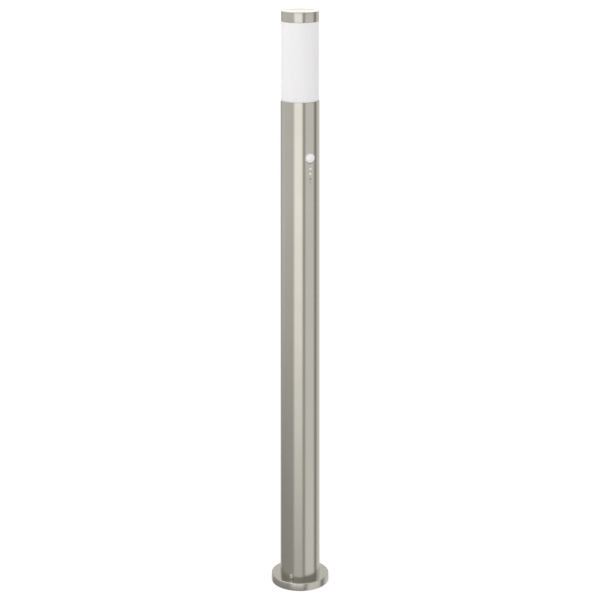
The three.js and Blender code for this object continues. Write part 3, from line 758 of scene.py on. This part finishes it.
def build_post():
    low, high = span("post_tube")
    outer = radius_of("post_tube")
    inner = outer - POST_WALL
    outline = fillet(tube_outline(inner, outer, low.z, high.z), 0.1 * MM, closed=True)
    tube = make("post_tube", revolve(outline, FINE, closed=True))
    tools = foot_screw_tools(FOOT_HOLE_START)
    for node in FRONT_HOLES:
        radius = LENS_RADIUS if node == "sensor_lens" else radius_of(node)
        gap = WINDOW_GAP if node in WINDOWS else HOLE_GAP
        at = placed(FRONT, (0, 0, centre_of(node).z))
        tools.append(peg(radius + gap, SENSOR_HOLE_START, OUTSIDE, place=at))
    tools.append(lens_dish(outer))
    cut(tube, tools)
    round_normals(tube, (inner, outer))
    stand_for("post_tube", tube)


def round_normals(obj, radii):
    """Gives the curved walls of a cut tube the normals of a true cylinder."""
    data = obj.data
    normals = [Vector(n.vector) for n in data.corner_normals]
    for face in data.polygons:
        flat = Vector((face.normal.x, face.normal.y, 0))
        if abs(face.normal.z) > 0.2 or flat.length < 0.9:
            continue
        corners = [data.vertices[data.loops[i].vertex_index].co for i in face.loop_indices]
        outward = all(Vector((c.x, c.y, 0)).normalized().dot(flat.normalized()) > 0.99 for c in corners)
        inward = all(Vector((c.x, c.y, 0)).normalized().dot(flat.normalized()) < -0.99 for c in corners)
        if not outward and not inward:
            continue
        side = 1 if outward else -1
        wall = max(radii) if outward else min(radii)
        for i, corner in zip(face.loop_indices, corners):
            radial = Vector((corner.x, corner.y, 0))
            if abs(radial.length - wall) < 0.25 * MM:
                normals[i] = radial.normalized() * side
    data.normals_split_custom_set([tuple(n) for n in normals])


# ---- Mains connection ----------------------------------------------
def build_terminals():
    dress("terminal_bracket", 0.4 * MM)
    dress("terminal_block", 0.5 * MM)
    dress("cord_clamp", 0.7 * MM)
    for i in (1, 2, 3):
        node = f"terminal_screw_{i}"
        centre = centre_of(node)
        start, end = reach_along(node, FRONT)
        radius = radius_of(node)
        obj = make(node, revolve(fillet(rod_outline(radius, start, end), 0.3 * MM), SMALL))
        depth = (end - 1.1 * MM, end + MM)
        slot = make("tool", block((-radius * 1.2, radius * 1.2), (-0.35 * MM, 0.35 * MM), depth))
        cut(obj, [slot])
        obj.data.transform(placed(FRONT, (centre.x, 0, centre.z)) @ Matrix.Rotation(0.5 * i, 4, "Z"))
        stand_for(node, obj)
    for i in (1, 2):
        node = f"clamp_screw_{i}"
        centre = centre_of(node)
        start, end = reach_along(node, FRONT)
        screw_form(node, M3_SHANK, M3_HEAD, M3_HEIGHT, FRONT, start, end - M3_HEIGHT,
                   "cross", 0.4 * i, (centre.x, 0, centre.z))
    height = centre_of("earth_stud").z
    start, end = reach_along("earth_stud", FRONT)
    radius = radius_of("earth_stud")
    ridges = threads(radius * 0.84, radius, start + 3 * MM, end - 0.3 * MM, 0.6 * MM)
    turned("earth_stud", [(0, start), (radius, start)] + ridges + [(radius * 0.7, end), (0, end)],
           SMALL, FRONT, (0, 0, height), edge=0.05 * MM)
    start, end = reach_along("earth_tag", FRONT)
    turned("earth_tag", tube_outline(radius + 0.2 * MM, radius_of("earth_tag"), start, end), SMALL,
           FRONT, (0, 0, height), closed=True)
    start, end = reach_along("earth_nut", FRONT)
    nut_form("earth_nut", 4 * MM, radius + 0.1 * MM, start, end, FRONT, (0, 0, height))


def build_wires():
    for node in ("wire_live", "wire_neutral", "wire_earth", "wire_lamp_live", "wire_lamp_neutral"):
        obj = dress(node)
        obj.modifiers.remove(obj.modifiers["edge"])
        sub = obj.modifiers.new("round", "SUBSURF")
        sub.levels = sub.render_levels = 2


# ---- Motion sensor -------------------------------------------------
def facet_grooves(mesh, centre):
    """Shallow seams between the lens facets of the dome: two rings and a fan of spokes."""
    for vert in mesh.verts:
        offset = vert.co - Vector((0, 0, centre))
        if offset.z < 0 or offset.length < LENS_RADIUS - 0.3 * MM:
            continue
        tilt = math.degrees(math.asin(min(1.0, offset.z / offset.length)))
        turn = math.degrees(math.atan2(offset.y, offset.x)) % LENS_SPOKE
        ring = min(abs(tilt - t) for t in LENS_RINGS)
        spoke = min(turn, LENS_SPOKE - turn) * math.cos(math.radians(tilt))
        gap = ring if tilt > LENS_RINGS[-1] else min(ring, spoke)
        depth = 0.14 * MM * max(0.0, 1 - gap / 2.6)
        vert.co -= offset.normalized() * depth


def build_sensor():
    height = centre_of("sensor_lens").z
    at = (0, 0, height)
    start, tip = reach_along("sensor_lens", FRONT)
    centre = tip - LENS_RADIUS
    inner = LENS_RADIUS - LENS_WALL
    flange_top = start + 1.0 * MM
    outline = fillet([
        (inner, start), (LENS_RADIUS + LENS_FLANGE, start), (LENS_RADIUS + LENS_FLANGE, flange_top),
        (LENS_RADIUS, flange_top),
    ], 0.1 * MM, 3)
    outline += arc(0, centre, LENS_RADIUS, 0, 90, 48)
    outline += arc(0, centre, inner, 90, 0, 24)
    mesh = revolve(outline, FINE, closed=True)
    facet_grooves(mesh, centre)
    stand_for("sensor_lens", make("sensor_lens", mesh, placed(FRONT, at)))

    start, end = reach_along("sensor_gasket", FRONT)
    turned("sensor_gasket", tube_outline(LENS_RADIUS + 0.3 * MM, radius_of("sensor_gasket"), start, end),
           MEDIUM, FRONT, at, closed=True)

    start, end = reach_along("pyro_detector", FRONT)
    rim = radius_of("pyro_detector")
    can = rim - 0.5 * MM
    turned("pyro_detector", [
        (0, start), (rim, start), (rim, start + 0.6 * MM), (can, start + 0.6 * MM, 0.1 * MM),
        (can, end, 0.5 * MM), (can * 0.55, end, 0.05 * MM), (can * 0.55, end - 0.3 * MM, 0.05 * MM),
        (0, end - 0.3 * MM),
    ], SMALL, FRONT, at)

    for node in WINDOWS:
        start, end = reach_along(node, FRONT)
        radius = radius_of(node)
        turned(node, [(0, start), (radius, start)] + dome_of(radius, end - radius * 0.6, end),
               SMALL, FRONT, (0, 0, centre_of(node).z), edge=0.0)

    for node in ("time_dial", "lux_dial"):
        build_dial(node)

    for node in ("time_pot", "lux_pot"):
        dress(node, 0.4 * MM)
    dress("relay", 0.5 * MM)
    dress("sensor_board", 0.15 * MM)
    dress("sensor_housing", 0.5 * MM)
    dress("sensor_cover", 0.5 * MM)
    dress("sensor_bracket", 0.25 * MM)
    for i in (1, 2):
        node = f"bracket_screw_{i}"
        start, end = reach_along(node, BACK)
        screw_form(node, SENSOR_SHANK, SENSOR_HEAD, SENSOR_HEAD_HEIGHT, BACK, start, end - SENSOR_HEAD_HEIGHT,
                   "cross", 0.6 * i, (0, 0, centre_of(node).z))

    centre = centre_of("capacitor")
    start, end = reach_along("capacitor", BACK)
    radius = radius_of("capacitor")
    turned("capacitor", [
        (0, start), (radius, start, 0.3 * MM), (radius, start + 1.6 * MM, 0.1 * MM),
        (radius * 0.92, start + 2.1 * MM), (radius, start + 2.6 * MM, 0.1 * MM), (radius, end, 0.4 * MM),
        (radius * 0.8, end, 0.1 * MM), (radius * 0.78, end - 0.2 * MM, 0.1 * MM), (0, end - 0.2 * MM),
    ], SMALL, BACK, (centre.x, 0, centre.z))


def build_dial(node):
    """A trimmer dial with a screwdriver slot, a pointer notch and a finely ribbed edge."""
    start, face = reach_along(node, FRONT)
    radius = radius_of(node)
    shaft = 2 * MM
    shoulder = face - 4.4 * MM
    ribs = 24
    outline = fillet([
        (0, start), (shaft, start), (shaft, shoulder), (radius, shoulder),
        (radius, face, 0.4 * MM), (0, face),
    ], 0.15 * MM)
    mesh = revolve(outline, ribs * 4)
    for vert in mesh.verts:
        if math.hypot(vert.co.x, vert.co.y) > radius * 0.97:
            angle = math.atan2(vert.co.y, vert.co.x)
            depth = 1 - 0.03 * (0.5 - 0.5 * math.cos(angle * ribs))
            vert.co.x *= depth
            vert.co.y *= depth
    obj = make(node, mesh)
    slot = make("tool", block((-1.9 * MM, 1.9 * MM), (-0.45 * MM, 0.45 * MM), (face - 0.9 * MM, face + MM)))
    notch = make("tool", block((1.6 * MM, 2.3 * MM), (-0.2 * MM, 0.2 * MM), (face - 0.4 * MM, face + MM)))
    cut(obj, [slot, notch])
    obj.data.transform(placed(FRONT, (0, 0, centre_of(node).z)))
    stand_for(node, obj)


# ---- Lampholder and bulb -------------------------------------------
def build_lampholder():
    low, high = span("lamp_carrier")
    outer = radius_of("lamp_carrier")
    sheet = 2 * MM
    hole = 10 * MM
    outline = fillet([
        (hole, high.z - sheet, 0.3 * MM), (outer - sheet, high.z - sheet, 0.8 * MM),
        (outer - sheet, low.z, 0.3 * MM), (outer, low.z, 0.3 * MM), (outer, high.z, 1.6 * MM),
        (28 * MM, high.z, 0.8 * MM), (26.5 * MM, high.z + 0.9 * MM, 0.8 * MM), (25 * MM, high.z, 0.8 * MM),
        (hole, high.z, 0.3 * MM),
    ], 0.3 * MM, closed=True)
    carrier = make("lamp_carrier", revolve(outline, FINE, closed=True))
    places = [centre_of(f"lampholder_screw_{i}") for i in (1, 2)]
    screws = [Matrix.Translation((p.x, p.y, 0)) for p in places]
    tools = [peg(M3_SHANK + 0.3 * MM, high.z - 5 * MM, high.z + 5 * MM, place=at) for at in screws]
    stand_for("lamp_carrier", cut(carrier, tools))
    for i in (1, 2):
        node = f"lampholder_screw_{i}"
        head, tip = span(node)[0].z, span(node)[1].z
        centre = centre_of(node)
        screw_form(node, M3_SHANK, M3_HEAD, M3_HEIGHT, -UP, -tip, -head - M3_HEIGHT, "cross", 0.7 * i,
                   (centre.x, centre.y, 0))

    low, high = span("lampholder_body")
    wide = radius_of("lampholder_body")
    narrow = wide - 1.5 * MM
    cavity = radius_of("lampholder_shell") + 0.3 * MM
    floor = span("lampholder_shell")[0].z
    outline = fillet([
        (0, low.z), (wide, low.z, 0.6 * MM), (wide, low.z + 12 * MM, 1.0 * MM),
        (narrow, low.z + 14 * MM, 1.0 * MM), (narrow, low.z + 22 * MM, 0.3 * MM),
        (narrow - 0.7 * MM, low.z + 22.7 * MM, 0.3 * MM),
        (narrow - 0.7 * MM, low.z + 24.3 * MM, 0.3 * MM), (narrow, low.z + 25 * MM, 0.3 * MM),
        (narrow, high.z, 1.2 * MM), (cavity, high.z, 0.5 * MM), (cavity, floor, 0.4 * MM), (0, floor),
    ], 0.5 * MM)
    body = make("lampholder_body", revolve(outline, MEDIUM))
    tools = [peg(M3_SHANK + 0.3 * MM, low.z - MM, floor - MM, place=at) for at in screws]
    for node in ("wire_lamp_live", "wire_lamp_neutral"):
        side = 6 * MM * (1 if centre_of(node).x > 0 else -1)
        tools.append(peg(1.7 * MM, low.z - MM, floor - MM, place=Matrix.Translation((side, 0, 0))))
    stand_for("lampholder_body", cut(body, tools))

    low, high = span("lampholder_shell")
    outer = radius_of("lampholder_shell")
    wall = 0.22 * MM
    wave = 0.13 * MM
    outside = helix_wall(outer - wave, wave, low.z, high.z, BULB_PITCH, MEDIUM, 72)
    inside = helix_wall(outer - wave - wall, wave, low.z, high.z, BULB_PITCH, MEDIUM, 72)
    stand_for("lampholder_shell", make("lampholder_shell", loft(outside + inside[::-1], closed=True)))

    low, high = span("lampholder_contact")
    radius = radius_of("lampholder_contact")
    turned("lampholder_contact", [
        (0, low.z), (radius, low.z), (radius, low.z + MM, 0.3 * MM),
        (radius * 0.72, low.z + 1.6 * MM, 0.4 * MM),
        (radius * 0.6, high.z, 0.8 * MM), (0, high.z),
    ], SMALL)


def build_bulb():
    low, high = span("bulb_contact")
    radius = radius_of("bulb_contact")
    turned("bulb_contact", [
        (0, low.z), (radius * 0.6, low.z, 0.5 * MM), (radius, low.z + 1.2 * MM, 0.4 * MM), (radius, high.z),
        (0, high.z),
    ], SMALL)
    low, high = span("bulb_insulator")
    radius = radius_of("bulb_insulator")
    turned("bulb_insulator", [
        (0, low.z), (5.5 * MM, low.z, 0.4 * MM), (radius * 0.94, high.z - 0.8 * MM, 0.6 * MM),
        (radius, high.z), (0, high.z),
    ], MEDIUM)

    low, high = span("bulb_screw_shell")
    crest = radius_of("bulb_screw_shell")
    wave = 0.42 * MM
    rings = helix_wall(crest - wave, wave, low.z + 0.6 * MM, high.z - 0.2 * MM, BULB_PITCH, MEDIUM, 72)
    foot = crest - 1.2 * MM
    turns = [2 * math.pi * k / MEDIUM for k in range(MEDIUM)]
    collar = [Vector((foot * math.cos(turn), foot * math.sin(turn), low.z)) for turn in turns]
    stand_for("bulb_screw_shell", make("bulb_screw_shell", loft([collar] + rings)))

    low, high = span("bulb_housing")
    wide = radius_of("bulb_housing")
    neck = crest
    flare = [
        (neck, low.z, 0.2 * MM), (neck + 1.3 * MM, low.z + 2.2 * MM, 0.5 * MM),
        (neck + 1.5 * MM, low.z + 4 * MM, 0.3 * MM),
    ]
    steps = 14
    start = low.z + 4.5 * MM
    for i in range(steps + 1):
        t = i / steps
        ease = math.sin(t * math.pi / 2) ** 1.15
        radius = neck + 1.6 * MM + (wide - neck - 1.9 * MM) * ease
        flare.append((radius, start + (high.z - 2.2 * MM - start) * t, 0))
    rim = [(wide, high.z - 1.4 * MM, 0.4 * MM), (wide, high.z, 0.3 * MM), (0, high.z)]
    turned("bulb_housing", [(0, low.z)] + flare + rim, MEDIUM, edge=0.2 * MM)

    low, high = span("bulb_globe")
    radius = radius_of("bulb_globe")
    centre = high.z - radius
    wall = 1.2 * MM
    seam = math.degrees(math.asin((low.z - centre) / radius))
    outside = arc(0, centre, radius, seam, 90, 30)
    inside = arc(0, centre, radius - wall, 90, seam, 24)
    mouth = (outside[0][0] - wall, low.z)
    turned("bulb_globe", outside + inside[:-1] + [mouth], MEDIUM, closed=True, edge=0.0)


# ---- Lamp head -----------------------------------------------------
def build_head():
    low, high = span("diffuser")
    outer = radius_of("diffuser")
    cap_low = span("top_cap")[0].z
    shoulder = span("post_tube")[1].z + 0.05 * MM
    neck = radius_of("post_tube") - POST_WALL - 0.5 * MM
    neck_bore = neck - 2.4 * MM
    bore = outer - 3 * MM
    spigot = radius_of("top_cap") - 1.7 * MM
    ring_low = span("head_o_ring")[0].z - 0.4 * MM
    ring_high = span("head_o_ring")[1].z + 0.4 * MM
    groove = radius_of("head_o_ring") - 1.7 * MM
    flange = 24 * MM
    turned("diffuser", [
        (neck_bore, low.z, 0.6 * MM), (neck, low.z, 0.8 * MM), (neck, ring_low, 0.15 * MM),
        (groove, ring_low, 0.2 * MM), (groove, ring_high, 0.2 * MM), (neck, ring_high, 0.15 * MM),
        (neck, shoulder, 0.15 * MM), (outer, shoulder, 0.35 * MM), (outer, cap_low, 0.25 * MM),
        (spigot, cap_low, 0.2 * MM), (spigot, high.z, 0.5 * MM),
        (flange, high.z, 0.5 * MM), (flange, high.z - 3 * MM, 0.4 * MM), (bore, high.z - 3 * MM, 1.0 * MM),
        (bore, shoulder, 0.6 * MM), (neck_bore, shoulder - 2 * MM, 0.6 * MM),
    ], FINE, closed=True)

    low, high = span("head_o_ring")
    outer_ring = radius_of("head_o_ring")
    section = 0.8 * MM
    middle = (low.z + high.z) / 2
    circle = arc(outer_ring - section, middle, section, 0, 360, 24)[:-1]
    turned("head_o_ring", circle, FINE, closed=True, edge=0.0)

    low, high = span("top_cap")
    outer = radius_of("top_cap")
    inner = outer - 1.2 * MM
    ceiling = high.z - 1.5 * MM
    turned("top_cap", [
        (0, ceiling), (inner, ceiling, 1.0 * MM), (inner, low.z, 0.2 * MM), (outer, low.z, 0.35 * MM),
        (outer, high.z, 0.8 * MM), (0, high.z),
    ], FINE)

    low, high = span("cap_seal")
    outline = tube_outline(26 * MM, radius_of("cap_seal"), low.z, high.z)
    turned("cap_seal", outline, FINE, closed=True, edge=0.8 * MM)
    low, high = span("cap_stud")
    radius = radius_of("cap_stud")
    ridges = threads(radius * 0.85, radius, low.z + 0.6 * MM, high.z - 4 * MM, 0.8 * MM)
    head = [(radius, high.z - 3.8 * MM), (radius, high.z), (0, high.z)]
    turned("cap_stud", [(0, low.z), (radius * 0.6, low.z)] + ridges + head, SMALL, edge=0.03 * MM)
    low, high = span("cap_washer")
    outline = tube_outline(radius + 0.3 * MM, radius_of("cap_washer"), low.z, high.z)
    turned("cap_washer", outline, SMALL, closed=True)
    low, high = span("cap_nut")
    nut_form("cap_nut", 4.6 * MM, radius + 0.1 * MM, low.z, high.z, UP)
    dress("cap_clamp_bar", 0.5 * MM)


# ---- Studio --------------------------------------------------------
# Soft panels, seen only in mirrored light. Each has its centre and half its width, in degrees to the
# right of the camera, the sines of its lowest and highest direction, and its brightness.
PANELS = (
    (-85, 50, -0.30, 0.10, 0.65),       # left wall
    (-10, 25, -0.35, 0.10, 1.20),       # main panel, beside the camera
    (60, 30, -1.10, 0.10, 0.70),        # right fill, down to the floor
    (165, 50, -1.10, 0.55, 0.65),       # backdrop
    (180, 15, 0.04, 0.24, 1.30),        # lit strip across the backdrop
    (-90, 65, 0.62, 1.10, 1.20),        # overhead, to the left
)
PANEL_FADE = 8           # degrees over which a panel's side edge fades
PANEL_RISE = 0.06        # the same for its lower and upper edge, as a sine
ROOM = 0.28              # the dim room between the panels
CEILING = 0.85
CEILING_START, CEILING_FULL = 0.55, 0.70      # sines of the directions where the ceiling begins
STUDIO_TINT = (1.0, 0.97, 0.91)
MATT_LIGHT, MATT_SLANT = 0.92, 0.17      # light on matt surfaces, and how much more comes from the left
MATT_FROM = math.radians(-75)            # direction of the bright side, counted like a panel's centre
FLOOR_GLOW = 0.42
KEY_ANGLE = math.radians(55)             # the key light stands this far to the left of the camera
KEY_REACH, KEY_HEIGHT = 2.2, 2.3
KEY_SIZE, KEY_ENERGY = 1.6, 3
KEY_AIM = 0.8                            # height on the post that the key light faces


def studio_tone(brightness):
    return tuple(brightness * t for t in STUDIO_TINT)


def panel_share(g, direction, centre, half, low, high):
    """How much of a soft-edged panel is seen in a direction, from 0 to 1."""
    x, y, z = direction
    turn = math.radians(centre)
    level = g.math("SQRT", g.math("SUBTRACT", 1.0, g.math("MULTIPLY", z, z)))
    facing = g.math("ADD", g.math("MULTIPLY", x, math.cos(turn)), g.math("MULTIPLY", y, math.sin(turn)))
    facing = g.math("DIVIDE", facing, level)
    outside = math.cos(math.radians(half + PANEL_FADE))
    inside = math.cos(math.radians(half - PANEL_FADE))
    across = g.range(facing, outside, inside, 0.0, 1.0)
    above = g.range(z, low - PANEL_RISE, low + PANEL_RISE, 0.0, 1.0)
    below = g.range(z, high - PANEL_RISE, high + PANEL_RISE, 1.0, 0.0)
    return g.math("MULTIPLY", across, g.math("MULTIPLY", above, below))


class WorldGraph(Graph):
    def __init__(self, world):
        world.use_nodes = True
        self.tree = world.node_tree
        self.tree.nodes.clear()
        self.coords = self.node("ShaderNodeTexCoord").outputs["Generated"]


def build_world():
    """White for the camera, soft panels for mirrored light, and a soft left-bright room for matt surfaces."""
    world = bpy.data.worlds.new("studio")
    bpy.context.scene.world = world
    g = WorldGraph(world)
    turn = g.node("ShaderNodeVectorRotate", rotation_type="Z_AXIS")
    g.link(g.coords, turn.inputs["Vector"])
    turn.inputs["Angle"].default_value = -CAMERA_ANGLE
    x, y, z = g.split(turn.outputs[0])
    overhead = g.range(z, CEILING_START, CEILING_FULL, 0.0, 1.0)
    mirrored = g.mix(overhead, studio_tone(ROOM), studio_tone(CEILING))
    for centre, half, low, high, brightness in PANELS:
        share = panel_share(g, (x, y, z), centre, half, low, high)
        mirrored = g.mix(share, mirrored, studio_tone(brightness))
    side = g.math("ADD", g.math("MULTIPLY", x, math.cos(MATT_FROM)),
                  g.math("MULTIPLY", y, math.sin(MATT_FROM)))
    matt = g.math("ADD", g.math("MULTIPLY", side, MATT_SLANT), MATT_LIGHT)
    path = g.node("ShaderNodeLightPath")
    soft = g.mix(path.outputs["Is Glossy Ray"], g.vector(matt, matt, matt), mirrored)
    seen = g.mix(path.outputs["Is Camera Ray"], soft, (1.0, 1.0, 1.0))
    background = g.node("ShaderNodeBackground")
    g.link(seen, background.inputs["Color"])
    output = g.node("ShaderNodeOutputWorld")
    g.link(background.outputs[0], output.inputs[0])


def build_floor():
    """A wide pale floor; it glows a little so that it meets the backdrop without an edge."""
    mesh = bmesh.new()
    bmesh.ops.create_circle(mesh, cap_ends=True, segments=96, radius=60)
    floor = make("studio_floor", mesh)
    floor.location.z = -0.2 * MM
    g = Graph("studio_floor")
    tone = g.noise(g.coords, 3.0, 2.0)
    colour = g.mix(tone, (0.86, 0.86, 0.86), (0.88, 0.88, 0.88))
    seen = g.node("ShaderNodeLightPath").outputs["Is Camera Ray"]
    g.set(
        Base_Color=colour,
        Roughness=0.9,
        Emission_Color=(1, 1, 1),
        Emission_Strength=g.math("MULTIPLY", seen, FLOOR_GLOW),
        Specular_IOR_Level=0.0,
    )
    floor.data.materials.append(g.material)
    floor.visible_glossy = False


def build_lights():
    """A large soft key from the left of the camera, kept out of mirrors."""
    data = bpy.data.lights.new("soft_key", "AREA")
    data.shape = "DISK"
    data.size = KEY_SIZE
    data.energy = KEY_ENERGY
    key = bpy.data.objects.new("soft_key", data)
    angle = CAMERA_ANGLE - KEY_ANGLE
    key.location = (KEY_REACH * math.cos(angle), KEY_REACH * math.sin(angle), KEY_HEIGHT)
    aim = Vector((0, 0, KEY_AIM)) - key.location
    key.rotation_euler = aim.to_track_quat("-Z", "Y").to_euler()
    key.visible_glossy = False
    bpy.context.scene.collection.objects.link(key)


def build_camera():
    data = bpy.data.cameras.new("camera")
    data.lens = CAMERA_LENS
    data.sensor_width = 36.0
    data.clip_start, data.clip_end = 0.05, 200
    camera = bpy.data.objects.new("camera", data)
    away = Vector((math.cos(CAMERA_ANGLE), math.sin(CAMERA_ANGLE), 0))
    camera.location = away * CAMERA_DISTANCE + UP * CAMERA_HEIGHT
    camera.rotation_euler = (-away).to_track_quat("-Z", "Y").to_euler()
    bpy.context.scene.collection.objects.link(camera)
    bpy.context.scene.camera = camera
    # The lens is shifted down for this standpoint only; a camera moved elsewhere has no shift.
    driver = data.driver_add("shift_y").driver
    driver.type = "SCRIPTED"
    height = driver.variables.new()
    height.name = "height"
    height.type = "TRANSFORMS"
    height.targets[0].id = camera
    height.targets[0].transform_type = "LOC_Z"
    driver.expression = f"{CAMERA_SHIFT} if abs(height - {CAMERA_HEIGHT}) < 0.001 else 0"


build_materials()
build_foot()
build_post()
build_terminals()
build_wires()
build_sensor()
build_lampholder()
build_bulb()
build_head()
build_world()
build_floor()
build_lights()
build_camera()
bpy.context.scene.view_settings.view_transform = "Standard"
